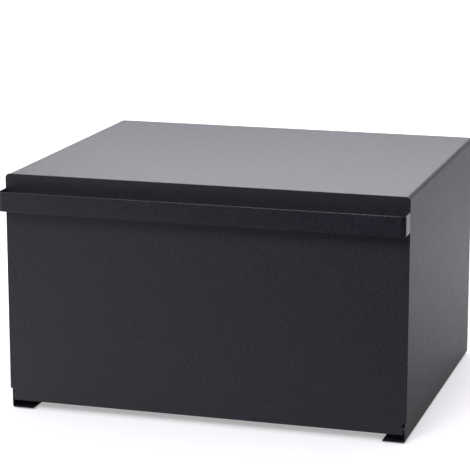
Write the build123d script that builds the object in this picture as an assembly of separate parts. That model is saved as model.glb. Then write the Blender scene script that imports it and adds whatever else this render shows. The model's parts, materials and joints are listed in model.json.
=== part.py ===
from build123d import *
from math import acos, atan2, degrees, hypot
import os

# Sheet-steel bread box with a full-width drop-down front door and a long
# flat band handle. All sizes are in millimetres.
#
# Frame: X runs along the front, +Y points to the rear, +Z points up. The
# origin is the centre of the underside of the whole object, so the box rests
# on Z = 0 and is symmetric about X = 0. Left and right are as seen by someone
# who stands in front of the door.

# Cabinet: one bent sheet makes the top, the sides, the foot runners and the
# rear flanges
BODY_WIDTH = 420.0
BODY_HEIGHT = 250.0
BODY_DEPTH = 343.6
SHEET = 1.0
TOP_BEND_RADIUS = 4.5
SMALL_BEND_RADIUS = 2.0
RUNNER_WIDTH = 23.3
REAR_FLANGE_WIDTH = 14.0
FLANGE_END_RELIEF = 8.0

# Floor and back panels, each a separate sheet inside the shell
PANEL_SHEET = 1.0
PANEL_FIT_GAP = 0.3
FLOOR_TAB_WIDTH = 14.0
FLOOR_REAR_LIP = 9.0
VENT_COUNT = 15
VENT_PITCH = 14.0
VENT_WIDTH = 4.0
VENT_HEIGHT = 22.0
VENT_TOP_DROP = 34.0

# Front header: a channel under the front edge of the top, which carries the
# magnets and the door bumpers
HEADER_HEIGHT = 24.0
HEADER_FLANGE = 14.0
HEADER_SETBACK = 1.6

# Door: one flat sheet in front of the shell, with a narrower tongue at the
# bottom whose edges are bent back into two hinge ears
DOOR_SHEET = 1.0
DOOR_OVERHANG = 1.5
DOOR_GAP = 0.4
DOOR_BOTTOM_Z = 10.0
DOOR_CORNER_RADIUS = 4.5
DOOR_EDGE_ROUND = 0.25
TONGUE_SIDE_GAP = 1.1
NOTCH_HEIGHT = 12.2
NOTCH_CORNER_RADIUS = 1.5
EAR_REACH = 5.0
EAR_CORNER_RADIUS = 3.5
EAR_RELIEF = 0.8

# Handle: a flat band bent back at both ends and welded to the door
HANDLE_HEIGHT = 20.5
HANDLE_SHEET = 1.2
HANDLE_STANDOFF = 22.0
HANDLE_BEND_RADIUS = 5.0
HANDLE_TOP_DROP = 15.0
HANDLE_EDGE_ROUND = 0.25
WELD_LEG = 2.0

# Hinge: a stud on each side panel turns in a nylon bush in the door's ear
PIVOT_BEHIND_FRONT = 6.0
PIVOT_ABOVE_DOOR_BOTTOM = 4.0
STUD_RADIUS = 2.0
STUD_RUNNING_GAP = 0.05
STUD_CHAMFER = 0.4
STUD_TAIL = 0.8
BUSH_WALL = 0.95
BUSH_FLANGE_RADIUS = 4.4
BUSH_FLANGE_THICKNESS = 0.7
BUSH_PROUD = 0.9
CLIP_THICKNESS = 0.6
CLIP_RADIUS = 3.9
CLIP_GROOVE_DEPTH = 0.4
CLIP_SIDE_GAP = 0.3
CLIP_MOUTH = 3.0
FLOOR_ABOVE_PIVOT = 4.5
HINGE_CLEARANCE = 0.8

# Magnetic catches, pushed into the header
MAGNET_FROM_SIDE = 45.0
MAGNET_RADIUS = 5.0
MAGNET_LENGTH = 5.0
MAGNET_POCKET_GAP = 0.05
HOLDER_RADIUS = 6.5
HOLDER_LENGTH = 9.0
HOLDER_FLANGE_RADIUS = 8.5
HOLDER_FLANGE_THICKNESS = 1.2
HOLDER_HOLE_GAP = 0.05
HOLDER_BARB = 0.5
HOLDER_BARB_LENGTH = 2.5
MAGNET_PROUD = 0.4

# Soft bumpers that the closed door rests on
BUMPER_FROM_SIDE = 12.0
BUMPER_RADIUS = 4.0
BUMPER_DOOR_GAP = 0.3
BUMPER_ROUND = 0.8

# Push-in foot pads under the runners
PAD_HEIGHT = 1.5
PAD_RADIUS = 7.0
PAD_ROUND = 0.5
PAD_FROM_END = 28.0
PAD_STEM_RADIUS = 2.0
PAD_STEM_GAP = 0.1
PAD_BARB = 0.7
PAD_BARB_LENGTH = 2.4

# Fasteners
SCREW_RADIUS = 1.5
SCREW_PILOT_RADIUS = 1.35
SCREW_HOLE_RADIUS = 1.7
SCREW_HEAD_RADIUS = 2.8
SCREW_HEAD_HEIGHT = 1.8
SCREW_LENGTH = 6.0
SCREW_HEAD_ROUND = 0.9
SCREW_DRIVE_SPAN = 3.4
SCREW_DRIVE_WIDTH = 0.8
SCREW_DRIVE_DEPTH = 0.9
SCREWS_PER_SIDE = 3
SCREWS_ON_TOP = 3
SIDE_SCREW_END_DISTANCE = 18.0
TOP_SCREW_END_DISTANCE = 54.0
RIVET_RADIUS = 1.6
RIVET_HOLE_GAP = 0.05
RIVET_HEAD_RADIUS = 3.2
RIVET_HEAD_HEIGHT = 0.9
RIVET_HEAD_ROUND = 0.45
RIVET_TAIL_RADIUS = 2.4
RIVET_TAIL_HEIGHT = 1.8
RIVET_TAIL_ROUND = 0.6
RIVETS_PER_SIDE = 3
RIVET_FROM_PAD = 45.0

# Planes and levels that follow from the sizes above
HALF_WIDTH = BODY_WIDTH / 2
INNER_HALF_WIDTH = HALF_WIDTH - SHEET
OVERALL_DEPTH = HANDLE_STANDOFF + DOOR_SHEET + DOOR_GAP + BODY_DEPTH + SCREW_HEAD_HEIGHT
DOOR_FRONT_Y = HANDLE_STANDOFF - OVERALL_DEPTH / 2
DOOR_BACK_Y = DOOR_FRONT_Y + DOOR_SHEET
SHELL_FRONT_Y = DOOR_BACK_Y + DOOR_GAP
SHELL_REAR_Y = SHELL_FRONT_Y + BODY_DEPTH
BACK_PANEL_REAR_Y = SHELL_REAR_Y - SHEET
BACK_PANEL_FRONT_Y = BACK_PANEL_REAR_Y - PANEL_SHEET
RUNNER_BOTTOM_Z = PAD_HEIGHT
RUNNER_TOP_Z = RUNNER_BOTTOM_Z + SHEET
TOP_Z = RUNNER_BOTTOM_Z + BODY_HEIGHT
CEILING_Z = TOP_Z - SHEET
RUNNER_INNER_X = HALF_WIDTH - RUNNER_WIDTH
PIVOT_Y = DOOR_FRONT_Y + PIVOT_BEHIND_FRONT
PIVOT_Z = DOOR_BOTTOM_Z + PIVOT_ABOVE_DOOR_BOTTOM
FLOOR_BOTTOM_Z = PIVOT_Z + FLOOR_ABOVE_PIVOT
FLOOR_TOP_Z = FLOOR_BOTTOM_Z + PANEL_SHEET
DOOR_HALF_WIDTH = HALF_WIDTH + DOOR_OVERHANG
TONGUE_HALF_WIDTH = INNER_HALF_WIDTH - TONGUE_SIDE_GAP
EAR_INNER_X = TONGUE_HALF_WIDTH - DOOR_SHEET
NOTCH_TOP_Z = DOOR_BOTTOM_Z + NOTCH_HEIGHT
EAR_TOP_Z = PIVOT_Z + EAR_REACH
EAR_REAR_Y = PIVOT_Y + EAR_REACH
HANDLE_TOP_Z = TOP_Z - HANDLE_TOP_DROP
HANDLE_BOTTOM_Z = HANDLE_TOP_Z - HANDLE_HEIGHT
HANDLE_FRONT_Y = DOOR_FRONT_Y - HANDLE_STANDOFF
HEADER_FRONT_Y = SHELL_FRONT_Y + HEADER_SETBACK
HEADER_BACK_Y = HEADER_FRONT_Y + PANEL_SHEET
HEADER_BOTTOM_Z = CEILING_Z - HEADER_HEIGHT
HEADER_MID_Z = (HEADER_BOTTOM_Z + CEILING_Z) / 2
BUSH_RADIUS = STUD_RADIUS + STUD_RUNNING_GAP + BUSH_WALL
BUSH_END_X = EAR_INNER_X - BUSH_PROUD
CLIP_OUTER_X = BUSH_END_X - CLIP_SIDE_GAP
CLIP_INNER_X = CLIP_OUTER_X - CLIP_THICKNESS
STUD_END_X = CLIP_INNER_X - STUD_TAIL
FOOT_X = (RUNNER_INNER_X + HALF_WIDTH) / 2
PAD_FRONT_Y = SHELL_FRONT_Y + PAD_FROM_END
PAD_REAR_Y = SHELL_REAR_Y - PAD_FROM_END
MAGNET_X = HALF_WIDTH - MAGNET_FROM_SIDE
BUMPER_X = HALF_WIDTH - BUMPER_FROM_SIDE

# Cutting solids run this far past the sheet that they cut
MARGIN = 1.0

SIDES = {"left": -1, "right": 1}


def block(x0, x1, y0, y1, z0, z1):
    """A box between two opposite corners, given in any order."""
    size = (abs(x1 - x0), abs(y1 - y0), abs(z1 - z0))
    centre = ((x0 + x1) / 2, (y0 + y1) / 2, (z0 + z1) / 2)
    return Pos(*centre) * Box(*size)


def rod_x(x0, x1, y, z, radius):
    """A round bar along X."""
    return Pos((x0 + x1) / 2, y, z) * Rot(0, 90, 0) * Cylinder(radius, abs(x1 - x0))


def rod_y(x, y0, y1, z, radius):
    """A round bar along Y."""
    return Pos(x, (y0 + y1) / 2, z) * Rot(90, 0, 0) * Cylinder(radius, abs(y1 - y0))


def rod_z(x, y, z0, z1, radius):
    """A round bar along Z."""
    return Pos(x, y, (z0 + z1) / 2) * Cylinder(radius, abs(z1 - z0))


def cone_y(x, y0, y1, z, radius0, radius1):
    """A cone along Y, with its first radius at y0."""
    return Pos(x, (y0 + y1) / 2, z) * Rot(-90, 0, 0) * Cone(radius0, radius1, y1 - y0)


def cone_z(x, y, z0, z1, radius0, radius1):
    """A cone along Z, with its first radius at z0."""
    return Pos(x, y, (z0 + z1) / 2) * Cone(radius0, radius1, z1 - z0)


def bent_strip(points, outside_radii, thickness, start, length, plane):
    """A sheet bent along the points of its middle line and pulled along the plane's normal."""
    middle_radii = [radius - thickness / 2 for radius in outside_radii]
    path = FilletPolyline(*points, radius=middle_radii)
    section = trace(path, line_width=thickness)
    return plane.offset(start) * extrude(section, length)


def both_sides(solid):
    """The solid and its mirror image across X = 0."""
    return [solid, mirror(solid, Plane.YZ)]


def screw_places():
    """Screws of the back panel: up both rear flanges and along the top one."""
    x_side = HALF_WIDTH - REAR_FLANGE_WIDTH / 2
    z_low = NOTCH_TOP_Z + SIDE_SCREW_END_DISTANCE
    z_high = CEILING_Z - TOP_BEND_RADIUS - SIDE_SCREW_END_DISTANCE
    z_step = (z_high - z_low) / (SCREWS_PER_SIDE - 1)
    places = [(side * x_side, z_low + i * z_step) for side in (-1, 1) for i in range(SCREWS_PER_SIDE)]
    x_span = HALF_WIDTH - TOP_BEND_RADIUS - TOP_SCREW_END_DISTANCE
    x_step = 2 * x_span / (SCREWS_ON_TOP - 1)
    z_top = TOP_Z - REAR_FLANGE_WIDTH / 2
    return places + [(-x_span + i * x_step, z_top) for i in range(SCREWS_ON_TOP)]


def rivet_places():
    """Rivets that hold the floor's tabs to the runners."""
    y_low = PAD_FRONT_Y + RIVET_FROM_PAD
    y_high = PAD_REAR_Y - RIVET_FROM_PAD
    y_step = (y_high - y_low) / (RIVETS_PER_SIDE - 1)
    return [(side * FOOT_X, y_low + i * y_step) for side in (-1, 1) for i in range(RIVETS_PER_SIDE)]


def pad_places():
    """Foot pads by name."""
    rows = {"front": PAD_FRONT_Y, "rear": PAD_REAR_Y}
    return {f"{row}_{side}": (sign * FOOT_X, y) for row, y in rows.items() for side, sign in SIDES.items()}


def runner_holes(z0, z1):
    """Holes for the pads' stems and the rivets through anything between two levels."""
    holes = [rod_z(x, y, z0, z1, PAD_STEM_RADIUS + PAD_STEM_GAP) for x, y in pad_places().values()]
    return holes + [rod_z(x, y, z0, z1, RIVET_RADIUS + RIVET_HOLE_GAP) for x, y in rivet_places()]


def make_outer_shell():
    """Top, sides, foot runners and rear flanges, bent from one sheet."""
    x_side = HALF_WIDTH - SHEET / 2
    z_top = TOP_Z - SHEET / 2
    z_runner = RUNNER_BOTTOM_Z + SHEET / 2
    outline = [
        (-RUNNER_INNER_X, z_runner),
        (-x_side, z_runner),
        (-x_side, z_top),
        (x_side, z_top),
        (x_side, z_runner),
        (RUNNER_INNER_X, z_runner),
    ]
    radii = [SMALL_BEND_RADIUS, TOP_BEND_RADIUS, TOP_BEND_RADIUS, SMALL_BEND_RADIUS]
    y_bend = SHELL_REAR_Y - SMALL_BEND_RADIUS
    # The XZ plane's normal points to -Y, so the sheet is pulled from the rear bend to the front
    shell = bent_strip(outline, radii, SHEET, -y_bend, y_bend - SHELL_FRONT_Y, Plane.XZ)

    y_flange = SHELL_REAR_Y - SHEET / 2
    side_bend = [(x_side, y_bend - MARGIN), (x_side, y_flange), (HALF_WIDTH - REAR_FLANGE_WIDTH, y_flange)]
    z0 = RUNNER_TOP_Z + SMALL_BEND_RADIUS + FLANGE_END_RELIEF
    z1 = TOP_Z - TOP_BEND_RADIUS - FLANGE_END_RELIEF
    for flange in both_sides(bent_strip(side_bend, [SMALL_BEND_RADIUS], SHEET, z0, z1 - z0, Plane.XY)):
        shell += flange

    top_bend = [(y_bend - MARGIN, z_top), (y_flange, z_top), (y_flange, TOP_Z - REAR_FLANGE_WIDTH)]
    x1 = HALF_WIDTH - TOP_BEND_RADIUS - FLANGE_END_RELIEF
    shell += bent_strip(top_bend, [SMALL_BEND_RADIUS], SHEET, -x1, 2 * x1, Plane.YZ)

    for x, z in screw_places():
        shell -= rod_y(x, SHELL_REAR_Y - 2 * SHEET, SHELL_REAR_Y + MARGIN, z, SCREW_HOLE_RADIUS)
    for hole in runner_holes(RUNNER_BOTTOM_Z - MARGIN, RUNNER_TOP_Z + MARGIN):
        shell -= hole
    return shell


def make_floor_panel():
    """A floor with turned-down sides, whose tabs stand on the runners."""
    x_wall = INNER_HALF_WIDTH - PANEL_FIT_GAP - PANEL_SHEET / 2
    z_tab = RUNNER_TOP_Z + PANEL_SHEET / 2
    z_floor = FLOOR_TOP_Z - PANEL_SHEET / 2
    x_tab = x_wall - FLOOR_TAB_WIDTH
    outline = [
        (-x_tab, z_tab),
        (-x_wall, z_tab),
        (-x_wall, z_floor),
        (x_wall, z_floor),
        (x_wall, z_tab),
        (x_tab, z_tab),
    ]
    y_walls = PIVOT_Y + hypot(EAR_REACH, EAR_REACH) + HINGE_CLEARANCE
    radii = [SMALL_BEND_RADIUS] * 4
    depth = BACK_PANEL_FRONT_Y - y_walls
    floor = bent_strip(outline, radii, PANEL_SHEET, -BACK_PANEL_FRONT_Y, depth, Plane.XZ)

    # In front of the walls the floor is a flat plate, narrow enough to clear the hinge ears
    y_edge = DOOR_BACK_Y + HINGE_CLEARANCE
    x_front = EAR_INNER_X - HINGE_CLEARANCE
    floor += block(-x_front, x_front, y_edge, y_walls + MARGIN, FLOOR_BOTTOM_Z, FLOOR_TOP_Z)

    # The rear edge has a lip turned down against the back panel
    x_lip = RUNNER_INNER_X
    y_lip = BACK_PANEL_FRONT_Y - PANEL_SHEET
    floor += block(-x_lip, x_lip, y_lip, BACK_PANEL_FRONT_Y, FLOOR_TOP_Z - FLOOR_REAR_LIP, FLOOR_TOP_Z)
    for hole in runner_holes(RUNNER_TOP_Z - MARGIN, RUNNER_TOP_Z + PANEL_SHEET + MARGIN):
        floor -= hole
    return floor


def rounded_panel(half_width, z0, z1, top_radius, y0, y1):
    """A flat panel across the box whose two top corners are round."""
    mid_z = (z0 + z1) / 2
    outline = Rectangle(2 * half_width, z1 - z0)
    top_corners = outline.vertices().sort_by(Axis.Y)[-2:]
    outline = fillet(top_corners, top_radius)
    return Plane.XZ.offset(-y1) * Pos(0, mid_z) * extrude(outline, y1 - y0)


def make_back_panel():
    """A flat sheet screwed to the shell's rear flanges, with a row of vent slots."""
    half_width = HALF_WIDTH - SMALL_BEND_RADIUS - PANEL_FIT_GAP
    z_low = DOOR_BOTTOM_Z
    z_high = TOP_Z - SMALL_BEND_RADIUS - PANEL_FIT_GAP
    y_front = BACK_PANEL_FRONT_Y
    panel = rounded_panel(half_width, z_low, z_high, TOP_BEND_RADIUS, y_front, BACK_PANEL_REAR_Y)
    z_vent = TOP_Z - VENT_TOP_DROP - VENT_HEIGHT / 2
    slot_outline = SlotOverall(VENT_HEIGHT, VENT_WIDTH, rotation=90)
    slot = Plane.XZ * extrude(slot_outline, PANEL_SHEET + MARGIN, both=True)
    for i in range(VENT_COUNT):
        x = (i - (VENT_COUNT - 1) / 2) * VENT_PITCH
        panel -= Pos(x, y_front, z_vent) * slot
    for x, z in screw_places():
        panel -= rod_y(x, y_front - MARGIN, BACK_PANEL_REAR_Y + MARGIN, z, SCREW_PILOT_RADIUS)
    return panel


def make_front_header():
    """A channel under the top's front edge, open to the rear."""
    z_low = HEADER_BOTTOM_Z + PANEL_SHEET / 2
    z_high = CEILING_Z - PANEL_SHEET / 2
    y_web = HEADER_FRONT_Y + PANEL_SHEET / 2
    y_end = HEADER_FRONT_Y + HEADER_FLANGE
    x_flange = HALF_WIDTH - TOP_BEND_RADIUS - PANEL_FIT_GAP
    outline = [(y_end, z_low), (y_web, z_low), (y_web, z_high), (y_end, z_high)]
    radii = [SMALL_BEND_RADIUS] * 2
    header = bent_strip(outline, radii, PANEL_SHEET, -x_flange, 2 * x_flange, Plane.YZ)

    # Past the flanges the web alone runs on to the side panels
    x_web = INNER_HALF_WIDTH - PANEL_FIT_GAP
    corner = TOP_BEND_RADIUS - PANEL_FIT_GAP
    z_web_low = HEADER_BOTTOM_Z + SMALL_BEND_RADIUS
    z_web_high = CEILING_Z - SMALL_BEND_RADIUS
    web = rounded_panel(x_web, z_web_low, z_web_high, corner, HEADER_FRONT_Y, HEADER_BACK_Y)
    header += web
    y0 = HEADER_FRONT_Y - MARGIN
    y1 = HEADER_BACK_Y + MARGIN
    for side in SIDES.values():
        header -= rod_y(side * MAGNET_X, y0, y1, HEADER_MID_Z, HOLDER_RADIUS + HOLDER_HOLE_GAP)
    return header


def make_door_panel():
    """The door's flat sheet with its tongue and the two ears bent back from it."""
    z_range = (NOTCH_TOP_Z, TOP_Z)
    plate = rounded_panel(DOOR_HALF_WIDTH, *z_range, DOOR_CORNER_RADIUS, DOOR_FRONT_Y, DOOR_BACK_Y)
    lower_corners = plate.edges().filter_by(Axis.Y).group_by(Axis.Z)[0]
    plate = fillet(lower_corners, NOTCH_CORNER_RADIUS)
    y_sheet = DOOR_FRONT_Y + DOOR_SHEET / 2
    x_ear = TONGUE_HALF_WIDTH - DOOR_SHEET / 2
    outline = [(-x_ear, EAR_REAR_Y), (-x_ear, y_sheet), (x_ear, y_sheet), (x_ear, EAR_REAR_Y)]
    radii = [SMALL_BEND_RADIUS] * 2
    tongue = bent_strip(outline, radii, DOOR_SHEET, DOOR_BOTTOM_Z, EAR_TOP_Z - DOOR_BOTTOM_Z, Plane.XY)
    ear_corners = tongue.edges().filter_by(Axis.X).group_by(Axis.Y)[-1]
    tongue = fillet(ear_corners, EAR_CORNER_RADIUS)
    # Above the bends the tongue is flat again, past a narrow relief slit at each side
    x_flat = TONGUE_HALF_WIDTH
    x_relief = x_flat - SMALL_BEND_RADIUS
    z_slit = EAR_TOP_Z + EAR_RELIEF
    neck = block(-x_relief, x_relief, DOOR_FRONT_Y, DOOR_BACK_Y, EAR_TOP_Z, z_slit)
    neck += block(-x_flat, x_flat, DOOR_FRONT_Y, DOOR_BACK_Y, z_slit, NOTCH_TOP_Z)
    door = plate + tongue + neck
    for side in SIDES.values():
        x0 = side * (EAR_INNER_X - MARGIN)
        x1 = side * (TONGUE_HALF_WIDTH + MARGIN)
        door -= rod_x(x0, x1, PIVOT_Y, PIVOT_Z, BUSH_RADIUS)
    # The coated sheet's outer edges are slightly round
    front_edges = door.edges().filter_by_position(Axis.Y, DOOR_FRONT_Y, DOOR_FRONT_Y)
    long_edges = front_edges.filter_by(lambda edge: edge.center().Z > NOTCH_TOP_Z + NOTCH_CORNER_RADIUS)
    return fillet(long_edges, DOOR_EDGE_ROUND)


def make_door_handle():
    """A band bent back at both ends, with a weld bead inside each end."""
    x_end = DOOR_HALF_WIDTH - HANDLE_SHEET / 2
    y_band = HANDLE_FRONT_Y + HANDLE_SHEET / 2
    outline = [(-x_end, DOOR_FRONT_Y), (-x_end, y_band), (x_end, y_band), (x_end, DOOR_FRONT_Y)]
    radii = [HANDLE_BEND_RADIUS] * 2
    handle = bent_strip(outline, radii, HANDLE_SHEET, HANDLE_BOTTOM_Z, HANDLE_HEIGHT, Plane.XY)
    front_edges = handle.edges().filter_by(Axis.X).group_by(Axis.Y)[0]
    handle = fillet(front_edges, HANDLE_EDGE_ROUND)
    x_weld = DOOR_HALF_WIDTH - HANDLE_SHEET
    corner = [(x_weld, DOOR_FRONT_Y), (x_weld - WELD_LEG, DOOR_FRONT_Y), (x_weld, DOOR_FRONT_Y - WELD_LEG)]
    bead = extrude(make_face(Polyline(*corner, close=True)), HANDLE_HEIGHT)
    for solid in both_sides(Pos(0, 0, HANDLE_BOTTOM_Z) * bead):
        handle += solid
    return handle


def make_hinge_stud(side):
    """A grooved pin welded to the side panel's inner face."""
    stud = rod_x(side * STUD_END_X, side * INNER_HALF_WIDTH, PIVOT_Y, PIVOT_Z, STUD_RADIUS)
    tip = stud.edges().filter_by(GeomType.CIRCLE).sort_by(Axis.X)[0 if side > 0 else -1]
    stud = chamfer(tip, STUD_CHAMFER)
    x0 = side * CLIP_INNER_X
    x1 = side * CLIP_OUTER_X
    groove = rod_x(x0, x1, PIVOT_Y, PIVOT_Z, STUD_RADIUS + MARGIN)
    groove -= rod_x(x0, x1, PIVOT_Y, PIVOT_Z, STUD_RADIUS - CLIP_GROOVE_DEPTH)
    return stud - groove


def make_hinge_bush(side):
    """A flanged nylon bush in the ear's hole."""
    x_face = side * TONGUE_HALF_WIDTH
    x_flange = side * (TONGUE_HALF_WIDTH + BUSH_FLANGE_THICKNESS)
    x_end = side * BUSH_END_X
    bush = rod_x(x_end, x_face, PIVOT_Y, PIVOT_Z, BUSH_RADIUS)
    bush += rod_x(x_face, x_flange, PIVOT_Y, PIVOT_Z, BUSH_FLANGE_RADIUS)
    bore_radius = STUD_RADIUS + STUD_RUNNING_GAP
    return bush - rod_x(x_end - side * MARGIN, x_flange + side * MARGIN, PIVOT_Y, PIVOT_Z, bore_radius)


def make_hinge_clip(side):
    """An open retaining ring in the stud's groove."""
    x0 = side * CLIP_INNER_X
    x1 = side * CLIP_OUTER_X
    clip = rod_x(x0, x1, PIVOT_Y, PIVOT_Z, CLIP_RADIUS)
    clip -= rod_x(x0 - side * MARGIN, x1 + side * MARGIN, PIVOT_Y, PIVOT_Z, STUD_RADIUS - CLIP_GROOVE_DEPTH)
    mouth = block(x0 - side * MARGIN, x1 + side * MARGIN, PIVOT_Y, PIVOT_Y + 2 * CLIP_RADIUS, 0, CLIP_MOUTH)
    return clip - Pos(0, 0, PIVOT_Z - CLIP_MOUTH / 2) * mouth


def make_magnet_holder(side):
    """A plastic cup pushed through the header from the front."""
    x = side * MAGNET_X
    y_flange = HEADER_FRONT_Y - HOLDER_FLANGE_THICKNESS
    y_end = HEADER_FRONT_Y + HOLDER_LENGTH
    holder = rod_y(x, y_flange, HEADER_FRONT_Y, HEADER_MID_Z, HOLDER_FLANGE_RADIUS)
    holder += rod_y(x, HEADER_FRONT_Y, y_end, HEADER_MID_Z, HOLDER_RADIUS)
    y_barb = HEADER_BACK_Y + HOLDER_HOLE_GAP
    barb_radius = HOLDER_RADIUS + HOLDER_BARB
    holder += cone_y(x, y_barb, y_barb + HOLDER_BARB_LENGTH, HEADER_MID_Z, barb_radius, HOLDER_RADIUS)
    pocket_radius = MAGNET_RADIUS + MAGNET_POCKET_GAP
    y_pocket = y_flange - MAGNET_PROUD + MAGNET_LENGTH
    return holder - rod_y(x, y_flange - MARGIN, y_pocket, HEADER_MID_Z, pocket_radius)


def make_catch_magnet(side):
    """A disc magnet that stands slightly out of its holder."""
    y0 = HEADER_FRONT_Y - HOLDER_FLANGE_THICKNESS - MAGNET_PROUD
    return rod_y(side * MAGNET_X, y0, y0 + MAGNET_LENGTH, HEADER_MID_Z, MAGNET_RADIUS)


def make_door_bumper(side):
    """A soft round bumper stuck to the header's face."""
    y0 = DOOR_BACK_Y + BUMPER_DOOR_GAP
    bumper = rod_y(side * BUMPER_X, y0, HEADER_FRONT_Y, HEADER_MID_Z, BUMPER_RADIUS)
    return fillet(bumper.edges().sort_by(Axis.Y)[0], BUMPER_ROUND)


def make_foot_pad(x, y):
    """A soft pad with a barbed stem that snaps through the runner and the floor's tab."""
    pad = rod_z(x, y, 0, PAD_HEIGHT, PAD_RADIUS)
    pad = fillet(pad.edges().sort_by(Axis.Z)[0], PAD_ROUND)
    z_tab = RUNNER_TOP_Z + PANEL_SHEET
    pad += rod_z(x, y, PAD_HEIGHT, z_tab, PAD_STEM_RADIUS)
    barb_radius = PAD_STEM_RADIUS + PAD_BARB
    tip_radius = PAD_STEM_RADIUS - PAD_BARB
    return pad + cone_z(x, y, z_tab, z_tab + PAD_BARB_LENGTH, barb_radius, tip_radius)


def make_screw(x, z):
    """A pan-head cross-drive screw driven from the rear."""
    head_top = SHELL_REAR_Y + SCREW_HEAD_HEIGHT
    head = rod_y(x, SHELL_REAR_Y, head_top, z, SCREW_HEAD_RADIUS)
    head = fillet(head.edges().sort_by(Axis.Y)[-1], SCREW_HEAD_ROUND)
    arm = SCREW_DRIVE_SPAN / 2
    half = SCREW_DRIVE_WIDTH / 2
    for dx, dz in ((arm, half), (half, arm)):
        head -= block(x - dx, x + dx, head_top - SCREW_DRIVE_DEPTH, head_top + MARGIN, z - dz, z + dz)
    return head + rod_y(x, SHELL_REAR_Y - SCREW_LENGTH, SHELL_REAR_Y, z, SCREW_RADIUS)


def make_rivet(x, y):
    """A blind rivet from below, with its set end on the floor's tab."""
    z_tab = RUNNER_TOP_Z + PANEL_SHEET
    head = rod_z(x, y, RUNNER_BOTTOM_Z - RIVET_HEAD_HEIGHT, RUNNER_BOTTOM_Z, RIVET_HEAD_RADIUS)
    head = fillet(head.edges().sort_by(Axis.Z)[0], RIVET_HEAD_ROUND)
    rivet = head + rod_z(x, y, RUNNER_BOTTOM_Z, z_tab, RIVET_RADIUS)
    tail = rod_z(x, y, z_tab, z_tab + RIVET_TAIL_HEIGHT, RIVET_TAIL_RADIUS)
    return rivet + fillet(tail.edges().sort_by(Axis.Z)[-1], RIVET_TAIL_ROUND)


def door_open_angle():
    """The turn at which the handle's lower corner meets the surface that the box stands on."""
    dy = HANDLE_FRONT_Y - PIVOT_Y
    dz = HANDLE_BOTTOM_Z - PIVOT_Z
    return degrees(acos(-PIVOT_Z / hypot(dy, dz)) - atan2(-dy, dz))


nodes = {
    "outer_shell": make_outer_shell(),
    "floor_panel": make_floor_panel(),
    "back_panel": make_back_panel(),
    "front_header": make_front_header(),
    "door_panel": make_door_panel(),
    "door_handle": make_door_handle(),
    "back_panel_screws": Compound([make_screw(x, z) for x, z in screw_places()]),
    "floor_rivets": Compound([make_rivet(x, y) for x, y in rivet_places()]),
}
for name, sign in SIDES.items():
    nodes[f"hinge_stud_{name}"] = make_hinge_stud(sign)
    nodes[f"hinge_bush_{name}"] = make_hinge_bush(sign)
    nodes[f"hinge_clip_{name}"] = make_hinge_clip(sign)
    nodes[f"magnet_holder_{name}"] = make_magnet_holder(sign)
    nodes[f"catch_magnet_{name}"] = make_catch_magnet(sign)
    nodes[f"door_bumper_{name}"] = make_door_bumper(sign)
for name, (pad_x, pad_y) in pad_places().items():
    nodes[f"foot_pad_{name}"] = make_foot_pad(pad_x, pad_y)

os.makedirs("parts", exist_ok=True)
for name, shape in nodes.items():
    export_step(shape, f"parts/{name}.step")
print(f"{len(nodes)} nodes; door pivot at y {PIVOT_Y:.2f}, z {PIVOT_Z:.2f}")
print(f"door opens to {door_open_angle():.2f} degrees, where its handle meets the table")
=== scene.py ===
# %% [markdown]
# # A sheet-steel bread box
# The object is a black bread box bent from sheet steel: a wide door at the front, a long flat band for a
# handle, and two folded runners that it stands on. The solid model is already measured and jointed, so
# this script never moves it. It loads that model as a fixed frame, dresses it in real finishes, rebuilds
# the pieces whose bends and rounded cut edges carry the light, and sets up a small studio.

# %% Load the frame
import bmesh
import bpy
import json
import numpy as np
from mathutils import Matrix, Vector


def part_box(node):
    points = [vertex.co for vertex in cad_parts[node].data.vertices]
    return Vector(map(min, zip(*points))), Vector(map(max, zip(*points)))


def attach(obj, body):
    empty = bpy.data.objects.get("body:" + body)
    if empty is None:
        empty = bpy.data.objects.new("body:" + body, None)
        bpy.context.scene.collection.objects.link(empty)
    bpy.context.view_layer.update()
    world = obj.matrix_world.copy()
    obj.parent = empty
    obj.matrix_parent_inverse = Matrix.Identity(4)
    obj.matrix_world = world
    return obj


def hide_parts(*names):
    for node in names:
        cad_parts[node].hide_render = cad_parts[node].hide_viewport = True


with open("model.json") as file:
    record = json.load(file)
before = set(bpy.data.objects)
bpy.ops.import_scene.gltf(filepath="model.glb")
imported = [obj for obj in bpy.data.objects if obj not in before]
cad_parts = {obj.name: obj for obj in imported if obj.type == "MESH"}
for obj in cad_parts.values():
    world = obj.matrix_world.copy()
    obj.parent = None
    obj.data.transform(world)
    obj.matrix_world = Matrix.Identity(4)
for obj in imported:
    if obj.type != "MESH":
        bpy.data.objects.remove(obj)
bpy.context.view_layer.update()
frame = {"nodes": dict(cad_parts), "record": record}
MM = 0.001

# %% [markdown]
# ## The camera
# The photograph was taken from the front right and a little above, with a long lens, so the box's edges
# hardly converge. A camera is a place, a direction and a lens. The direction is given here as two angles,
# the compass turn and the tilt, because they are easy to picture and to change one at a time. A last very
# small roll levels the picture the way the photograph is levelled.

# %% Place the camera
CAMERA_PLACE = (0.60025, -2.04459, 0.64917)
CAMERA_TURN = 16.737
CAMERA_TILT = -12.799
CAMERA_ROLL = -0.034
LENS_MM = 155.13
SENSOR_MM = 36.0
FAR_CLIP_M = 50.0


def aim(place, turn, tilt, roll):
    """A camera's matrix: forward from turn and tilt, right square to it and level, both then rolled."""
    turn, tilt, roll = np.radians((turn, tilt, roll))
    forward = Vector((-np.sin(turn) * np.cos(tilt), np.cos(turn) * np.cos(tilt), np.sin(tilt)))
    level_right = forward.cross(Vector((0, 0, 1))).normalized()
    level_up = level_right.cross(forward)
    right = np.cos(roll) * level_right + np.sin(roll) * level_up
    up = np.cos(roll) * level_up - np.sin(roll) * level_right
    return Matrix.LocRotScale(Vector(place), Matrix((right, up, -forward)).transposed(), None)


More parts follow.
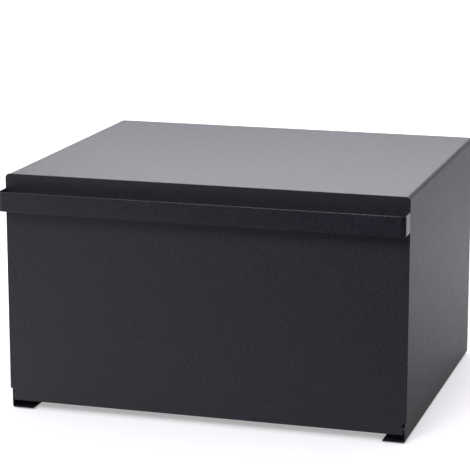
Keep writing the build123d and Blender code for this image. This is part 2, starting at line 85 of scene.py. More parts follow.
camera_data = bpy.data.cameras.new("camera")
camera_data.lens = LENS_MM
camera_data.sensor_width = SENSOR_MM
camera_data.clip_end = FAR_CLIP_M
camera = bpy.data.objects.new("camera", camera_data)
camera.matrix_world = aim(CAMERA_PLACE, CAMERA_TURN, CAMERA_TILT, CAMERA_ROLL)
bpy.context.scene.collection.objects.link(camera)
bpy.context.scene.camera = camera
print("camera at", [round(v, 3) for v in camera.location], "lens", LENS_MM, "mm")

# %% [markdown]
# ## How a finish is written
# Every finish below is a Principled shader with two or three textures in real sizes. One function adds a
# node, sets it and links it, so that a material reads as a list of what the finish is made of. Colours
# are written as the hex codes that a colour picker shows, and one function turns them into the linear
# numbers that the renderer works in. Noise is nought to one on paper but hardly ever leaves its middle
# range, so tints and gloss are stretched over that range alone.

# %% Helpers for finishes
NOISE_LOW, NOISE_HIGH = 0.3, 0.7


def linear(hex_code):
    """sRGB hex to linear: divide by 12.92 near black, and a power of 2.4 above it."""
    value = np.array([int(hex_code[i:i + 2], 16) for i in (1, 3, 5)]) / 255
    value = np.where(value <= 0.04045, value / 12.92, ((value + 0.055) / 1.055) ** 2.4)
    return (*value.tolist(), 1.0)


def add(tree, kind, inputs=None, **settings):
    """A node with its properties and its sockets set; a socket given as a value links instead."""
    node = tree.nodes.new(kind)
    for name, value in settings.items():
        setattr(node, name, value)
    for name, value in (inputs or {}).items():
        if isinstance(value, bpy.types.NodeSocket):
            tree.links.new(value, node.inputs[name])
        else:
            node.inputs[name].default_value = value
    return node


def new_finish(name):
    """An empty material with its Principled shader and its Object coordinates, in metres."""
    material = bpy.data.materials.new(name)
    material.use_nodes = True
    tree = material.node_tree
    shader = tree.nodes["Principled BSDF"]
    place = add(tree, "ShaderNodeTexCoord").outputs["Object"]
    return material, tree, shader, place


def grain(tree, place, size_mm, detail, stretch=(1, 1, 1)):
    """Noise whose blobs are about size_mm across, or longer along an axis whose stretch is over 1."""
    scale = [1 / s for s in stretch]
    mapped = add(tree, "ShaderNodeMapping", {"Vector": place, "Scale": scale}).outputs["Vector"]
    settings = {"Vector": mapped, "Scale": 1 / (size_mm * MM), "Detail": detail}
    return add(tree, "ShaderNodeTexNoise", settings).outputs[0]


def vary_tint(tree, shader, noise, dark, light):
    """A base colour between two hex codes: dark where the noise is low and light where it is high."""
    ramp = add(tree, "ShaderNodeValToRGB", {"Fac": noise})
    for stop, position, colour in zip(ramp.color_ramp.elements, (NOISE_LOW, NOISE_HIGH), (dark, light)):
        stop.position = position
        stop.color = linear(colour)
    tree.links.new(ramp.outputs["Color"], shader.inputs["Base Color"])


def vary_gloss(tree, shader, noise, roughness, change):
    """A roughness that swings by change about its middle value as the noise rises and falls."""
    levels = {"From Min": NOISE_LOW, "From Max": NOISE_HIGH}
    levels.update({"To Min": roughness - change, "To Max": roughness + change})
    rough = add(tree, "ShaderNodeMapRange", {"Value": noise, **levels}).outputs["Result"]
    tree.links.new(rough, shader.inputs["Roughness"])


def dent(tree, shader, layers):
    """A chain of bumps, each a height value, the height in mm that it stands for and its strength."""
    normal = None
    for height, depth_mm, strength in layers:
        sockets = {"Height": height, "Distance": depth_mm * MM, "Strength": strength}
        if normal is not None:
            sockets["Normal"] = normal
        normal = add(tree, "ShaderNodeBump", sockets).outputs["Normal"]
    tree.links.new(normal, shader.inputs["Normal"])


# %% [markdown]
# ## Powder-coated steel
# The whole body is steel sheet under a baked polyester powder coat. The powder melts and levels, but
# never fully: it leaves fine grains about half a millimetre across, a slower swell a few millimetres
# across, called orange peel, and faint clouds of more and less gloss. The black is a little paler where
# the swell is high, which the eye sees as a fine mottle. The coat is a dielectric, so it is nearly black
# seen square on and pale where it is seen at a slant and mirrors a white room. That comes from its index
# of refraction alone, with no painted highlights. The handle is coated apart from the body and is a
# little smoother.

# %% Powder coat
COAT_GRAIN_MM = 1.4  # real grains are nearer 0.5 mm, and are drawn this coarse so that they show
ORANGE_PEEL_MM = 3.0
CLOUD_MM = 9.0
COAT_DARK, COAT_LIGHT = "#11131a", "#1a1c24"
COAT_GLOSS_CHANGE = 0.018
COAT_IOR = 1.5
PEEL_BUMP = (0.06, 0.5)  # height in millimetres, and strength
GRAIN_BUMP = (0.14, 0.8)


def powder_coat(name, roughness):
    """Baked matt black powder coat on steel: fine grains, slow orange peel and faint clouds of gloss."""
    material, tree, shader, place = new_finish(name)
    grains = grain(tree, place, COAT_GRAIN_MM, detail=1.0)
    peel = grain(tree, place, ORANGE_PEEL_MM, detail=1.0)
    clouds = grain(tree, place, CLOUD_MM, detail=4.0)
    vary_tint(tree, shader, peel, COAT_DARK, COAT_LIGHT)
    vary_gloss(tree, shader, clouds, roughness, COAT_GLOSS_CHANGE)
    shader.inputs["IOR"].default_value = COAT_IOR
    dent(tree, shader, [(peel, *PEEL_BUMP), (grains, *GRAIN_BUMP)])
    return material


body_coat = powder_coat("powder_coated_steel", roughness=0.44)
handle_coat = powder_coat("smooth_powder_coated_steel", roughness=0.30)
print("made", body_coat.name, "and", handle_coat.name)

# %% [markdown]
# ## Plated steel
# Rivets, studs and clips are bright zinc plate, the screws are black zinc and the magnets are nickel.
# A metal has no colour under its surface: its base colour is the colour of its reflection. One plate
# differs from another in that colour, and in how blurred the reflection is.

# %% Plated finishes
PLATE_GLOSS_CHANGE = 0.05
PLATE_BUMP = (0.004, 0.4)


def plate(name, dark, light, roughness, grain_mm, stretch=(1, 1, 1)):
    """Plating on steel: a metal whose tint and blur vary a little from grain to grain."""
    material, tree, shader, place = new_finish(name)
    crystals = grain(tree, place, grain_mm, detail=3.0, stretch=stretch)
    vary_tint(tree, shader, crystals, dark, light)
    vary_gloss(tree, shader, crystals, roughness, PLATE_GLOSS_CHANGE)
    shader.inputs["Metallic"].default_value = 1.0
    dent(tree, shader, [(crystals, *PLATE_BUMP)])
    return material


zinc = plate("zinc_plated_steel", "#a9abab", "#c9cac6", roughness=0.30, grain_mm=0.6)
black_zinc = plate("black_zinc_plated_steel", "#26272a", "#3a3b3e", roughness=0.34, grain_mm=0.5)
nickel = plate("nickel_plated_magnet", "#b5afa2", "#cfc9bc", 0.16, 0.4, stretch=(1, 6, 1))
print("made", zinc.name, black_zinc.name, nickel.name)

# %% [markdown]
# ## Mouldings
# The bushes are black nylon, slightly waxy. The magnet holders are black ABS with the fine
# spark-eroded skin of their mould. The bumpers are soft clear silicone and the feet are black rubber,
# which is so matt that it hardly mirrors anything.

# %% Moulded finishes
MOULD_GLOSS_CHANGE = 0.04
MOULD_BUMP_STRENGTH = 0.5
SILICONE_CLEARNESS = 0.55


def moulding(name, dark, light, roughness, ior, grain_mm, depth_mm):
    """Plastic or rubber as it leaves the mould: an even colour and the mould's fine grain."""
    material, tree, shader, place = new_finish(name)
    skin = grain(tree, place, grain_mm, detail=2.0)
    vary_tint(tree, shader, skin, dark, light)
    vary_gloss(tree, shader, skin, roughness, MOULD_GLOSS_CHANGE)
    shader.inputs["IOR"].default_value = ior
    dent(tree, shader, [(skin, depth_mm, MOULD_BUMP_STRENGTH)])
    return material


# After the two tints: roughness, IOR, and the mould grain's size and depth in millimetres
nylon = moulding("moulded_nylon", "#17181a", "#1f2022", 0.42, 1.53, 0.7, 0.004)
abs_plastic = moulding("moulded_abs", "#121314", "#1a1b1c", 0.45, 1.54, 0.4, 0.006)
silicone = moulding("clear_silicone", "#cfd0ca", "#dedfd9", 0.28, 1.41, 1.0, 0.003)
silicone.node_tree.nodes["Principled BSDF"].inputs["Transmission Weight"].default_value = SILICONE_CLEARNESS
rubber = moulding("moulded_rubber", "#131313", "#1c1c1b", 0.72, 1.52, 0.5, 0.010)
print("made", nylon.name, abs_plastic.name, silicone.name, rubber.name)

# %% [markdown]
# ## Finishes on the model's own pieces
# The record names a material slot for every piece, and a table gives each slot its finish. All pieces of
# the solid model get theirs here, so that those whose shape is already right, such as screws, rivets and
# hinge studs, need nothing more.

# %% Give every carried-over piece its finish
FINISHES = {
    "black_powder_coat": body_coat,
    "zinc_plated_steel": zinc,
    "black_zinc_steel": black_zinc,
    "black_nylon": nylon,
    "black_plastic": abs_plastic,
    "nickel_plate": nickel,
    "clear_silicone": silicone,
    "black_rubber": rubber,
}

for subpart in frame["record"]["subparts"]:
    node = frame["nodes"][subpart["node"]]
    for material_slot in node.material_slots:
        material_slot.material = FINISHES[subpart["material_slot"]]

# %% [markdown]
# ## Bent sheet as a surface
# A bent sheet is one middle surface with a thickness. The middle surface is worked out as a grid: one
# direction follows the outline of the section, with true arcs at the bends, and the other runs along the
# fold. The Solidify modifier gives the wall and the Bevel modifier rounds the cut edges by a quarter of a
# millimetre, as powder does when it melts over them. Fine arcs and smooth shading make the bends run
# round without facets, and weighted normals keep the flat faces flat.

# %% Helpers for meshes
BEND_STEPS = 12
EDGE_ROUND_MM = 0.25
EDGE_ROUND_STEPS = 3
SHARP_DEGREES = 35


def arc(centre, radius, start, end, steps=BEND_STEPS):
    """Points on a circle in the plane: centre plus radius times cosine and sine, from start to end."""
    angle = np.radians(np.linspace(start, end, steps + 1))
    return np.array(centre) + radius * np.column_stack((np.cos(angle), np.sin(angle)))


def grid_faces(rows, columns, keep=None):
    """Four-cornered faces between neighbouring grid points, numbered row by row, where keep is true."""
    corner = np.arange(rows * columns).reshape(rows, columns)
    quads = np.stack((corner[:-1, :-1], corner[1:, :-1], corner[1:, 1:], corner[:-1, 1:]), axis=-1)
    if keep is None:
        return quads.reshape(-1, 4)
    return quads[keep]


def dress(name, mesh, finish, body):
    """An object for a mesh: smooth, with its finish, riding on a body of the model."""
    mesh.shade_smooth()
    mesh.materials.clear()
    mesh.materials.append(finish)
    piece = bpy.data.objects.new(name, mesh)
    bpy.context.scene.collection.objects.link(piece)
    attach(piece, body)
    return piece


def new_piece(name, points, faces, finish, body):
    """A dressed object from points in metres and the faces between them."""
    mesh = bpy.data.meshes.new(name)
    mesh.from_pydata(points.tolist(), [], [list(face) for face in faces])
    mesh.validate()
    return dress(name, mesh, finish, body)


def round_edges(piece, round_mm, segments=EDGE_ROUND_STEPS):
    """Rounds every edge sharper than a bend's facets, and evens the normals so that flats stay flat."""
    edge = piece.modifiers.new("edge", "BEVEL")
    edge.width = round_mm * MM
    edge.segments = segments
    edge.limit_method = "ANGLE"
    edge.angle_limit = np.radians(SHARP_DEGREES)
    normals = piece.modifiers.new("normals", "WEIGHTED_NORMAL")
    normals.keep_sharp = False


def make_sheet(piece, thickness_mm, round_mm=EDGE_ROUND_MM):
    """Gives a middle surface its wall, half on each side of it, and rounds its cut edges."""
    wall = piece.modifiers.new("wall", "SOLIDIFY")
    wall.thickness = thickness_mm * MM
    wall.offset = 0.0
    wall.use_even_offset = True
    round_edges(piece, round_mm)


# %% [markdown]
# ## The outer shell
# One sheet goes round the box like a sleeve: a runner, a side, a wide bend, the top, and down again. Only
# half of the outline is worked out, and the other half is its mirror image. At the rear, narrow flanges
# fold inwards off the two sides and the top. The grid covers them all, and the faces that would fill the
# gaps between the flanges are left out.

# %% Outer shell
SHEET_MM = 1.0
TOP_BEND_MM = 4.5
SMALL_BEND_MM = 2.0
RUNNER_MM = 23.3
REAR_FLANGE_MM = 14.0
FLANGE_RELIEF_MM = 8.0


def shell_half_section(half_width, z_low, z_high):
    """Half of the sleeve's middle line, from the middle of the top to the runner's inner edge.

    Returns the points, the direction into the box at each of them, and whether a rear flange leaves the
    stretch after each point. All sizes are in millimetres.
    """
    side = half_width - SHEET_MM / 2
    top = z_high - SHEET_MM / 2
    runner = z_low + SHEET_MM / 2
    large = TOP_BEND_MM - SHEET_MM / 2
    small = SMALL_BEND_MM - SHEET_MM / 2
    top_end = half_width - TOP_BEND_MM - FLANGE_RELIEF_MM
    flange_high = z_high - TOP_BEND_MM - FLANGE_RELIEF_MM
    flange_low = z_low + SHEET_MM + SMALL_BEND_MM + FLANGE_RELIEF_MM
    upper = arc((side - large, top - large), large, 90, 0)
    lower = arc((side - small, runner + small), small, 0, -90)
    points = np.concatenate((
        [(0, top), (top_end, top)],
        upper,
        [(side, flange_high), (side, flange_low)],
        lower,
        [(half_width - RUNNER_MM, runner)],
    ))
    turn = np.radians(np.concatenate((
        [90, 90], np.linspace(90, 0, BEND_STEPS + 1), [0, 0], np.linspace(0, -90, BEND_STEPS + 1), [-90],
    )))
    inward = -np.column_stack((np.cos(turn), np.sin(turn)))
    flange = np.zeros(len(points) - 1, bool)
    flange[0] = True
    flange[len(upper) + 2] = True
    return points, inward, flange


def mirrored(points, inward, flange):
    """The half section and its mirror image across the middle, joined at the top."""
    flip = np.array((-1, 1))
    both = np.concatenate((points[:0:-1] * flip, points))
    directions = np.concatenate((inward[:0:-1] * flip, inward))
    return both, directions, np.concatenate((flange[::-1], flange))


def shell_surface(low, high):
    """The sleeve as a grid: section point, plus the inward direction times the flange's run, plus depth."""
    section, inward, flange = mirrored(*shell_half_section(high[0], low[2], high[2]))
    small = SMALL_BEND_MM - SHEET_MM / 2
    bend_start = high[1] - SMALL_BEND_MM
    swing = np.radians(np.linspace(0, 90, BEND_STEPS + 1))
    depth = np.concatenate(([low[1]], bend_start + small * np.sin(swing), [high[1] - SHEET_MM / 2]))
    run = np.concatenate(([0], small * (1 - np.cos(swing)), [REAR_FLANGE_MM - SHEET_MM / 2]))
    flat = section[:, None, :] + inward[:, None, :] * run[None, :, None]
    points = np.empty((len(section), len(depth), 3))
    points[..., 0] = flat[..., 0]
    points[..., 1] = depth[None, :]
    points[..., 2] = flat[..., 1]
    keep = np.ones((len(section) - 1, len(depth) - 1), bool)
    keep[:, 1:] = flange[:, None]
    return points.reshape(-1, 3), grid_faces(len(section), len(depth), keep)


def used_only(points, faces):
    """Drops the points that no face uses, and numbers the rest again."""
    used, numbers = np.unique(faces, return_inverse=True)
    return points[used], numbers.reshape(faces.shape)


def box_mm(node):
    """A node's lowest and highest corners in millimetres."""
    return tuple(np.array(corner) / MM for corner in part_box(node))


shell_points, shell_faces = used_only(*shell_surface(*box_mm("outer_shell")))
shell = new_piece("shell_sheet", shell_points * MM, shell_faces, body_coat, "cabinet")
make_sheet(shell, SHEET_MM)
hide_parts("outer_shell")
print("shell:", len(shell_faces), "faces before its wall")

# %% [markdown]
# ## The handle
# The handle is a flat band as long as the door is wide, stood off from it and bent back at both ends. It
# is made as the shell is: a middle line with two arcs, carried up over the height of the band. Its long
# edges are rounded over nearly half the sheet, and catch a thin line of light.

# %% Handle band
HANDLE_SHEET_MM = 1.2
HANDLE_BEND_MM = 5.0
HANDLE_ROUND_MM = 0.55


def band_surface(low, high):
    """The band as a grid: a middle line in plan, from one end to the other, at its two heights."""
    end = high[0] - HANDLE_SHEET_MM / 2
    front = low[1] + HANDLE_SHEET_MM / 2
    radius = HANDLE_BEND_MM - HANDLE_SHEET_MM / 2
    bend = arc((end - radius, front + radius), radius, -90, 0)
    half = np.concatenate(([(0, front)], bend, [(end, high[1])]))
    line = np.concatenate((half[:0:-1] * (-1, 1), half))
    heights = np.array((low[2], high[2]))
    points = np.empty((len(line), 2, 3))
    points[..., :2] = line[:, None, :]
    points[..., 2] = heights[None, :]
    return points.reshape(-1, 3), grid_faces(len(line), 2)


handle_low, handle_high = box_mm("door_handle")
band_points, band_faces = band_surface(handle_low, handle_high)
band = new_piece("handle_band", band_points * MM, band_faces, handle_coat, "door")
make_sheet(band, HANDLE_SHEET_MM, HANDLE_ROUND_MM)
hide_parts("door_handle")
print("handle band:", len(band_faces), "faces before its wall")

# %% [markdown]
# ## Weld beads
# Each end of the band is welded to the door on its inner side. A weld bead is a row of small overlapping
# puddles, so its section swells and shrinks along its length. The coat fills the valleys and leaves a
# soft ripple. The bead here is a curved fillet between the two sheets whose size follows that ripple.

# %% Weld beads
WELD_LEG_MM = 2.0
WELD_PUDDLE_MM = 1.9
WELD_RIPPLE_MM = 0.16
BEAD_ROWS = 121
BEAD_COLUMNS = 9
BEAD_HOLLOW = 0.38
BEAD_ROOT = 0.15
LEAST_END = 0.0025  # a square: the tips are a twentieth of the leg


def bead_surface(corner_x, corner_y, z_low, z_high, inner):
    """A fillet bead: a curve from one sheet to the other, whose leg ripples with height and ends round.

    The leg has its full length in the middle of each puddle and is a ripple shorter between two, by an
    absolute sine. Over the last puddle at each end it falls nearly to nothing, as a quarter circle does.
    The curve is a quarter circle drawn in by a sine of twice its angle, which makes the fillet hollow,
    and its root lies just inside the two sheets.
    """
    height = np.linspace(z_low, z_high, BEAD_ROWS)
    puddle = np.abs(np.sin(np.pi * (height - z_low) / WELD_PUDDLE_MM))
    from_end = np.minimum(height - z_low, z_high - height) / WELD_PUDDLE_MM
    ending = np.sqrt(np.clip(1 - np.clip(1 - from_end, 0, 1) ** 2, LEAST_END, 1))
    leg = (WELD_LEG_MM - WELD_RIPPLE_MM + WELD_RIPPLE_MM * puddle) * ending
    turn = np.radians(np.linspace(0, 90, BEAD_COLUMNS))
    hollow = 1 - BEAD_HOLLOW * np.sin(2 * turn)
    across = np.column_stack((np.cos(turn), np.sin(turn))) * hollow[:, None]
    ring = np.concatenate((across, [(-BEAD_ROOT, -BEAD_ROOT)]))
    points = np.empty((len(height), len(ring), 3))
    points[..., 0] = corner_x + inner * leg[:, None] * ring[None, :, 0]
    points[..., 1] = corner_y - leg[:, None] * ring[None, :, 1]
    points[..., 2] = height[:, None]
    return points


def closed_tube(rings):
    """Faces of a tube of closed rings, wound all the way round, with one face over each end."""
    count, around = rings.shape[:2]
    number = np.arange(count * around).reshape(count, around)
    following = np.roll(number, -1, axis=1)
    sides = np.stack((number[:-1], number[1:], following[1:], following[:-1]), axis=-1).reshape(-1, 4)
    return sides.tolist() + [number[0].tolist(), number[-1][::-1].tolist()]


def point_outwards(piece):
    """Turns every face of a closed piece outwards."""
    work = bmesh.new()
    work.from_mesh(piece.data)
    bmesh.ops.recalc_face_normals(work, faces=work.faces)
    work.to_mesh(piece.data)
    work.free()


for side_name, sign in (("left", -1), ("right", 1)):
    corner_x = sign * (handle_high[0] - HANDLE_SHEET_MM)
    rings = bead_surface(corner_x, handle_high[1], handle_low[2], handle_high[2], -sign)
    bead = new_piece(
        f"weld_bead_{side_name}", rings.reshape(-1, 3) * MM, closed_tube(rings),
        handle_coat, "door",
    )
    point_outwards(bead)
    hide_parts("door_handle")
print("two weld beads of", round((handle_high[2] - handle_low[2]) / WELD_PUDDLE_MM), "puddles")

# %% [markdown]
# ## The laser-cut sheets
# The door, the rear cover, the floor and the channel over the door are cut by laser and folded, and the
# solid model already has their outlines, holes and folds. What it lacks is the soft edge that the powder
# leaves. So each is copied, its loose triangles are merged into whole flat faces, and the Bevel modifier
# rounds the edges, with no need to work the shape out again.

# %% Laser-cut sheets
CUT_SHEETS = {
    "door_panel": ("door_leaf", "door"),
    "back_panel": ("rear_cover", "cabinet"),
    "floor_panel": ("floor_tray", "cabinet"),
    "front_header": ("header_channel", "cabinet"),
}
MERGE_M = 1e-6
FLAT_DEGREES = 0.5


def whole_faces(node, name):
    """A copy of a node's mesh: corners merged, and neighbours joined where they lie in one plane."""
    mesh = frame["nodes"][node].data.copy()
    mesh.name = name
    work = bmesh.new()
    work.from_mesh(mesh)
    bmesh.ops.remove_doubles(work, verts=work.verts, dist=MERGE_M)
    bmesh.ops.dissolve_limit(work, angle_limit=np.radians(FLAT_DEGREES), verts=work.verts, edges=work.edges)
    work.to_mesh(mesh)
    work.free()
    return mesh


for node, (name, body) in CUT_SHEETS.items():
    sheet = dress(name, whole_faces(node, name), body_coat, body)
    round_edges(sheet, EDGE_ROUND_MM)
    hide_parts(node)
    print(name, len(sheet.data.polygons), "flat faces")

# %% [markdown]
# ## Turned and moulded small pieces
# Feet, bumpers, magnets and their holders are all round, so each is a profile turned about an axis. The
# profile is a list of radius and height, with arcs where the mould is rounded. It starts and ends on the
# axis, where all the points of a ring fall together and are merged into one, so that the pole is closed.

# %% Turning a profile
AROUND = 64
MOULD_ROUND_MM = 0.12
MOULD_ROUND_STEPS = 2
POLE_MERGE_M = 1e-7
EMPTY_EDGE_M = 1e-8


def turned(name, profile, origin, axis, finish, body):
    """A profile of radius and height turned about an axis through the origin; all in millimetres.

    Each point is the origin, plus the radius times a unit circle square to the axis, plus the height
    times the axis.
    """
    profile = np.array(profile, float)
    turn = np.linspace(0, 2 * np.pi, AROUND, endpoint=False)
    along = np.array(axis, float)
    first = np.cross(along, (0, 0, 1) if along[2] == 0 else (0, 1, 0))
    first /= np.linalg.norm(first)
    second = np.cross(along, first)
    circle = np.cos(turn)[:, None] * first + np.sin(turn)[:, None] * second
    points = profile[:, None, 0, None] * circle[None] + profile[:, None, 1, None] * along
    points = (np.array(origin) + points).reshape(-1, 3)
    number = np.arange(len(points)).reshape(len(profile), AROUND)
    following = np.roll(number, -1, axis=1)
    faces = np.stack((number[:-1], number[1:], following[1:], following[:-1]), axis=-1).reshape(-1, 4)
    piece = new_piece(name, points * MM, faces, finish, body)
    close_poles(piece)
    round_edges(piece, MOULD_ROUND_MM, MOULD_ROUND_STEPS)
    return piece


def close_poles(piece):
    """Merges the points that fall together at the poles, drops empty faces and points all outwards."""
    work = bmesh.new()
    work.from_mesh(piece.data)
    bmesh.ops.remove_doubles(work, verts=work.verts, dist=POLE_MERGE_M)
    bmesh.ops.dissolve_degenerate(work, edges=work.edges, dist=EMPTY_EDGE_M)
    bmesh.ops.recalc_face_normals(work, faces=work.faces)
    work.to_mesh(piece.data)
    work.free()


# %% [markdown]
# ## The feet
# Each runner has two holes, and a thin rubber pad with a barbed stem is pushed into each. The pad's rim is
# rounded and its underside is dished, so that it grips by its rim. The outline is drawn once and turned.

# %% Feet
PAD_HEIGHT_MM = 1.5
PAD_ROUND_MM = 0.5
STEM_RADIUS_MM = 2.0
BARB_MM = 0.7
BARB_LENGTH_MM = 2.4
GRIP_DISH_MM = 0.3
GRIP_INNER, GRIP_OUTER = 0.55, 0.62  # where the dish's slope lies, as shares of the pad's radius

for place in ("front_left", "front_right", "rear_left", "rear_right"):
    low, high = box_mm(f"foot_pad_{place}")
    middle = (low + high) / 2
    radius = (high[0] - low[0]) / 2
    stem_top = high[2] - BARB_LENGTH_MM
    profile = [(0, GRIP_DISH_MM), (radius * GRIP_INNER, GRIP_DISH_MM), (radius * GRIP_OUTER, 0)]
    profile += arc((radius - PAD_ROUND_MM, PAD_ROUND_MM), PAD_ROUND_MM, -90, 0, steps=6).tolist()
    profile += [(radius, PAD_HEIGHT_MM), (STEM_RADIUS_MM, PAD_HEIGHT_MM), (STEM_RADIUS_MM, stem_top)]
    profile += [(STEM_RADIUS_MM + BARB_MM, stem_top), (STEM_RADIUS_MM - BARB_MM, high[2]), (0, high[2])]
    pad = turned(
        f"pad_{place}", profile, (middle[0], middle[1], 0), (0, 0, 1),
        rubber, "cabinet",
    )
    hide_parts(f"foot_pad_{place}")
print("four feet,", round(2 * radius), "mm across")

# %% [markdown]
# ## Bumpers, magnets and holders
# At each end of the channel over the door sit a soft bumper, which the closed door rests on, and a magnet
# in a moulded holder, which holds it shut. The bumper is a disc with a rounded rim, the magnet a disc with
# chamfered edges, and the holder a cup with a flange in front of the channel and a barbed stem behind it.

# %% Bumpers, magnets and holders
BUMPER_ROUND_MM = 0.8
MAGNET_CHAMFER_MM = 0.25
HOLDER_FLANGE_MM = 1.2
HOLDER_FLANGE_ROUND_MM = 0.4
HOLDER_RADIUS_MM = 6.5
POCKET_GAP_MM = 0.05
BARB_START_MM = 1.05
HOLDER_BARB_MM = 0.5
HOLDER_BARB_LENGTH_MM = 2.5


def measures(node):
    """The lowest and highest corners, the middle and the radius of a round piece that points along y."""
    low, high = box_mm(node)
    return low, high, (low + high) / 2, (high[0] - low[0]) / 2


def make_bumper(side_name):
    """A disc from its rear face forwards: a straight side, a quarter circle of rim and a flat front."""
    low, high, middle, radius = measures(f"door_bumper_{side_name}")
    length = high[1] - low[1]
    rim = arc((radius - BUMPER_ROUND_MM, length - BUMPER_ROUND_MM), BUMPER_ROUND_MM, 0, 90, steps=8)
    profile = [(0, 0), (radius, 0), *rim.tolist(), (0, length)]
    bumper = turned(
        f"bumper_{side_name}", profile, (middle[0], high[1], middle[2]), (0, -1, 0),
        silicone, "cabinet",
    )
    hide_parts(f"door_bumper_{side_name}")


def make_magnet(side_name):
    """A disc with a small chamfer round each face."""
    low, high, middle, radius = measures(f"catch_magnet_{side_name}")
    length = high[1] - low[1]
    edge = radius - MAGNET_CHAMFER_MM
    profile = [(0, 0), (edge, 0), (radius, MAGNET_CHAMFER_MM)]
    profile += [(radius, length - MAGNET_CHAMFER_MM), (edge, length), (0, length)]
    magnet = turned(
        f"magnet_{side_name}", profile, (middle[0], high[1], middle[2]), (0, -1, 0),
        nickel, "cabinet",
    )
    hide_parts(f"catch_magnet_{side_name}")


def make_holder(side_name):
    """A cup from the bottom of its pocket, out over its rounded flange, and back along its barbed stem."""
    _, magnet_high, _, magnet_radius = measures(f"catch_magnet_{side_name}")
    low, high, middle, flange_radius = measures(f"magnet_holder_{side_name}")
    length = high[1] - low[1]
    pocket = magnet_radius + POCKET_GAP_MM
    depth = magnet_high[1] - low[1]
    shoulder = HOLDER_FLANGE_MM
    barb = shoulder + BARB_START_MM
    rim = (flange_radius - HOLDER_FLANGE_ROUND_MM, HOLDER_FLANGE_ROUND_MM)
    profile = [(0, depth), (pocket, depth), (pocket, 0)]
    profile += arc(rim, HOLDER_FLANGE_ROUND_MM, -90, 0, steps=6).tolist()
    profile += [(flange_radius, shoulder), (HOLDER_RADIUS_MM, shoulder), (HOLDER_RADIUS_MM, barb)]
    profile += [(HOLDER_RADIUS_MM + HOLDER_BARB_MM, barb), (HOLDER_RADIUS_MM, barb + HOLDER_BARB_LENGTH_MM)]
    profile += [(HOLDER_RADIUS_MM, length), (0, length)]
    holder = turned(
        f"holder_{side_name}", profile, (middle[0], low[1], middle[2]), (0, 1, 0),
        abs_plastic, "cabinet",
    )
    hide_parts(f"magnet_holder_{side_name}")


for side_name in ("left", "right"):
    make_bumper(side_name)
    make_magnet(side_name)
    make_holder(side_name)
print("bumpers, magnets and holders, left and right")

# %% [markdown]
# ## The studio
# A black coat shows its surroundings more than its own colour, so the studio is what shapes this object.
# The top and the side are seen at a slant and mirror the white room and floor behind them. The door faces
# the camera and mirrors what is in front of the box, which in the photograph's studio is dark at the
# right. So the floor and the room fall from white to nearly black towards the front right, but only for
# mirrored rays. To the camera and to diffuse light they are white all round.

# %% Kinds of ray, and the dark side
DARK_SIDE = (0.78, -0.62)
DARKEST = 0.03


def ray_kind(tree, *kinds):
    """One for the kinds of ray named, and nought for all others."""
    light_path = add(tree, "ShaderNodeLightPath")
    total = light_path.outputs[kinds[0]]
    for kind in kinds[1:]:
        sockets = {0: total, 1: light_path.outputs[kind]}
        total = add(tree, "ShaderNodeMath", sockets, operation="MAXIMUM").outputs[0]
    return total


def dark_side(tree, vector, start, end, brightest):
    """A level that falls in a straight line, from start to end along the way to the dark side."""
    sockets = {0: vector, 1: (*DARK_SIDE, 0)}
    along = add(tree, "ShaderNodeVectorMath", sockets, operation="DOT_PRODUCT").outputs["Value"]
    levels = {"Value": along, "From Min": start, "From Max": end, "To Min": brightest, "To Max": DARKEST}
    return add(tree, "ShaderNodeMapRange", levels).outputs["Result"]


# %% [markdown]
# ## The floor
# The floor is plain white paper, and it keeps the soft shadow of the box. One softbox can't light a wide
# floor evenly, so the paper also glows a little: for the camera more further out, where the shadow has
# ended, for mirrored rays only faintly, and for diffuse light not at all. Seen from below, the floor is
# clear, so that the underside of the box can be looked at.

# %% Floor
FLOOR_HALF_M = 8.0
FLOOR_WHITE = 0.8
FLOOR_DARK_FROM, FLOOR_DARK_TO = -0.12, 0.62
GLOW_NEAR, GLOW_FAR = 0.38, 0.75
GLOW_FROM_M, GLOW_TO_M = 0.35, 1.3
GLOW_MIRRORED = 0.15


def floor_paper(tree, mirrored_ray, fade):
    """Diffuse white, dimmed by fade for mirrored rays alone."""
    sockets = {0: mirrored_ray, 2: 1.0, 3: fade}
    level = add(tree, "ShaderNodeMix", sockets, data_type="FLOAT").outputs[0]
    white = add(tree, "ShaderNodeMath", {0: level, 1: FLOOR_WHITE}, operation="MULTIPLY").outputs[0]
    return add(tree, "ShaderNodeBsdfDiffuse", {"Color": white}).outputs[0]


def floor_glow(tree, place, mirrored_ray, fade):
    """A glow that rises with distance for the camera, and is low and dimmed by fade for mirrored rays."""
    reach = add(tree, "ShaderNodeVectorMath", {0: place}, operation="LENGTH").outputs["Value"]
    levels = {"From Min": GLOW_FROM_M, "From Max": GLOW_TO_M, "To Min": GLOW_NEAR, "To Max": GLOW_FAR}
    rising = add(tree, "ShaderNodeMapRange", {"Value": reach, **levels}).outputs["Result"]
    seen = ray_kind(tree, "Is Camera Ray", "Is Transmission Ray")
    seen_glow = add(tree, "ShaderNodeMath", {0: seen, 1: rising}, operation="MULTIPLY").outputs[0]
    sockets = {0: fade, 1: GLOW_MIRRORED}
    mirrored_glow = add(tree, "ShaderNodeMath", sockets, operation="MULTIPLY").outputs[0]
    sockets = {0: mirrored_ray, 2: seen_glow, 3: mirrored_glow}
    strength = add(tree, "ShaderNodeMix", sockets, data_type="FLOAT").outputs[0]
    return add(tree, "ShaderNodeEmission", {"Strength": strength}).outputs[0]


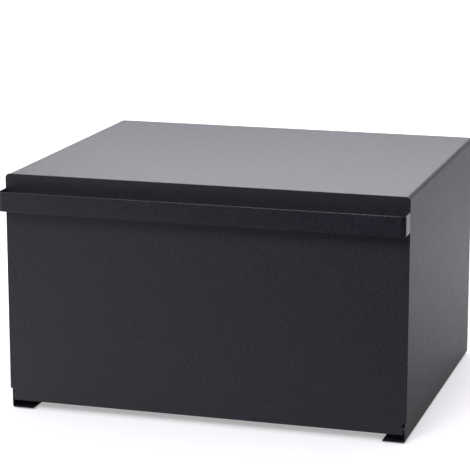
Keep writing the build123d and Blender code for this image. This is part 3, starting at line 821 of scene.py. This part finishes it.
def floor_material():
    """White paper with its glow, and clear where the camera looks at its underside."""
    material = bpy.data.materials.new("white_paper_floor")
    material.use_nodes = True
    tree = material.node_tree
    tree.nodes.clear()
    place = add(tree, "ShaderNodeTexCoord").outputs["Object"]
    mirrored_ray = ray_kind(tree, "Is Glossy Ray")
    fade = dark_side(tree, place, FLOOR_DARK_FROM, FLOOR_DARK_TO, 1.0)
    sockets = {0: floor_paper(tree, mirrored_ray, fade), 1: floor_glow(tree, place, mirrored_ray, fade)}
    lit = add(tree, "ShaderNodeAddShader", sockets).outputs[0]
    clear = add(tree, "ShaderNodeBsdfTransparent").outputs[0]
    below = add(tree, "ShaderNodeNewGeometry").outputs["Backfacing"]
    sockets = {0: below, 1: ray_kind(tree, "Is Camera Ray")}
    from_below = add(tree, "ShaderNodeMath", sockets, operation="MULTIPLY").outputs[0]
    mixed = add(tree, "ShaderNodeMixShader", {0: from_below, 1: lit, 2: clear}).outputs[0]
    add(tree, "ShaderNodeOutputMaterial", {"Surface": mixed})
    return material


corners = [(x * FLOOR_HALF_M, y * FLOOR_HALF_M, 0) for x, y in ((-1, -1), (1, -1), (1, 1), (-1, 1))]
floor_mesh = bpy.data.meshes.new("floor")
floor_mesh.from_pydata(corners, [], [(0, 1, 2, 3)])
floor_mesh.materials.append(floor_material())
floor = bpy.data.objects.new("floor", floor_mesh)
bpy.context.scene.collection.objects.link(floor)
print("floor", 2 * FLOOR_HALF_M, "m wide")

# %% [markdown]
# ## The room
# The room has no walls. It is the world's background, whose strength depends on the kind of ray: pure white
# for the camera and through clear things, a soft even light for diffuse rays, and for mirrored rays a
# white side and a dark side. A touch of violet in its light is what the photograph's greys have.

# %% Room
ROOM_DIFFUSE = 0.7
ROOM_MIRRORED = 0.86
ROOM_DARK_FROM, ROOM_DARK_TO = -0.35, 0.3
ROOM_TINT = "#fbf7ff"


def make_room():
    """A background of one strength for each kind of ray, dark towards the front right when mirrored."""
    world = bpy.data.worlds.new("room")
    bpy.context.scene.world = world
    world.use_nodes = True
    tree = world.node_tree
    tree.nodes.clear()
    direction = add(tree, "ShaderNodeTexCoord").outputs["Generated"]
    mirrored_level = dark_side(tree, direction, ROOM_DARK_FROM, ROOM_DARK_TO, ROOM_MIRRORED)
    seen = ray_kind(tree, "Is Camera Ray", "Is Transmission Ray")
    mirrored_ray = ray_kind(tree, "Is Glossy Ray")
    sockets = {0: mirrored_ray, 2: ROOM_DIFFUSE, 3: mirrored_level}
    soft = add(tree, "ShaderNodeMix", sockets, data_type="FLOAT").outputs[0]
    strength = add(tree, "ShaderNodeMix", {0: seen, 2: soft, 3: 1.0}, data_type="FLOAT").outputs[0]
    sockets = {0: seen, 6: linear(ROOM_TINT), 7: (1, 1, 1, 1)}
    colour = add(tree, "ShaderNodeMix", sockets, data_type="RGBA").outputs[2]
    background = add(tree, "ShaderNodeBackground", {"Color": colour, "Strength": strength}).outputs[0]
    add(tree, "ShaderNodeOutputWorld", {"Surface": background})


make_room()
print("room of strength", ROOM_DIFFUSE, "for diffuse light and", ROOM_MIRRORED, "for mirrored rays")

# %% [markdown]
# ## The lamps
# Two softboxes light the box. The key hangs high in front and a little to the left: it lights the door,
# and draws the soft shadow under the handle and the thin line of light on the handle's upper edge. The
# other is lower and close behind the box, where the satin top mirrors it, so the top is pale, and a
# little more so in front than at the rear.

# %% Lamps
def make_softbox(name, place, target, size, watts):
    """A rectangular area lamp that points from its place to a target, and that the camera can't see."""
    light = bpy.data.lights.new(name, "AREA")
    light.shape = "RECTANGLE"
    light.size, light.size_y = size
    light.energy = watts
    light.color = linear(ROOM_TINT)[:3]
    lamp = bpy.data.objects.new(name, light)
    lamp.location = place
    lamp.rotation_euler = (Vector(target) - Vector(place)).to_track_quat("-Z", "Y").to_euler()
    lamp.visible_camera = False
    bpy.context.scene.collection.objects.link(lamp)


make_softbox("key_softbox", (-0.4, -3.4, 2.55), (0.0, -0.16, 0.12), size=(1.5, 1.5), watts=95.0)
make_softbox("rear_softbox", (-0.15, 1.0, 0.95), (-0.05, 0.1, 0.2), size=(1.2, 0.5), watts=9.0)
bpy.context.scene.view_settings.view_transform = "Standard"
print("studio ready")
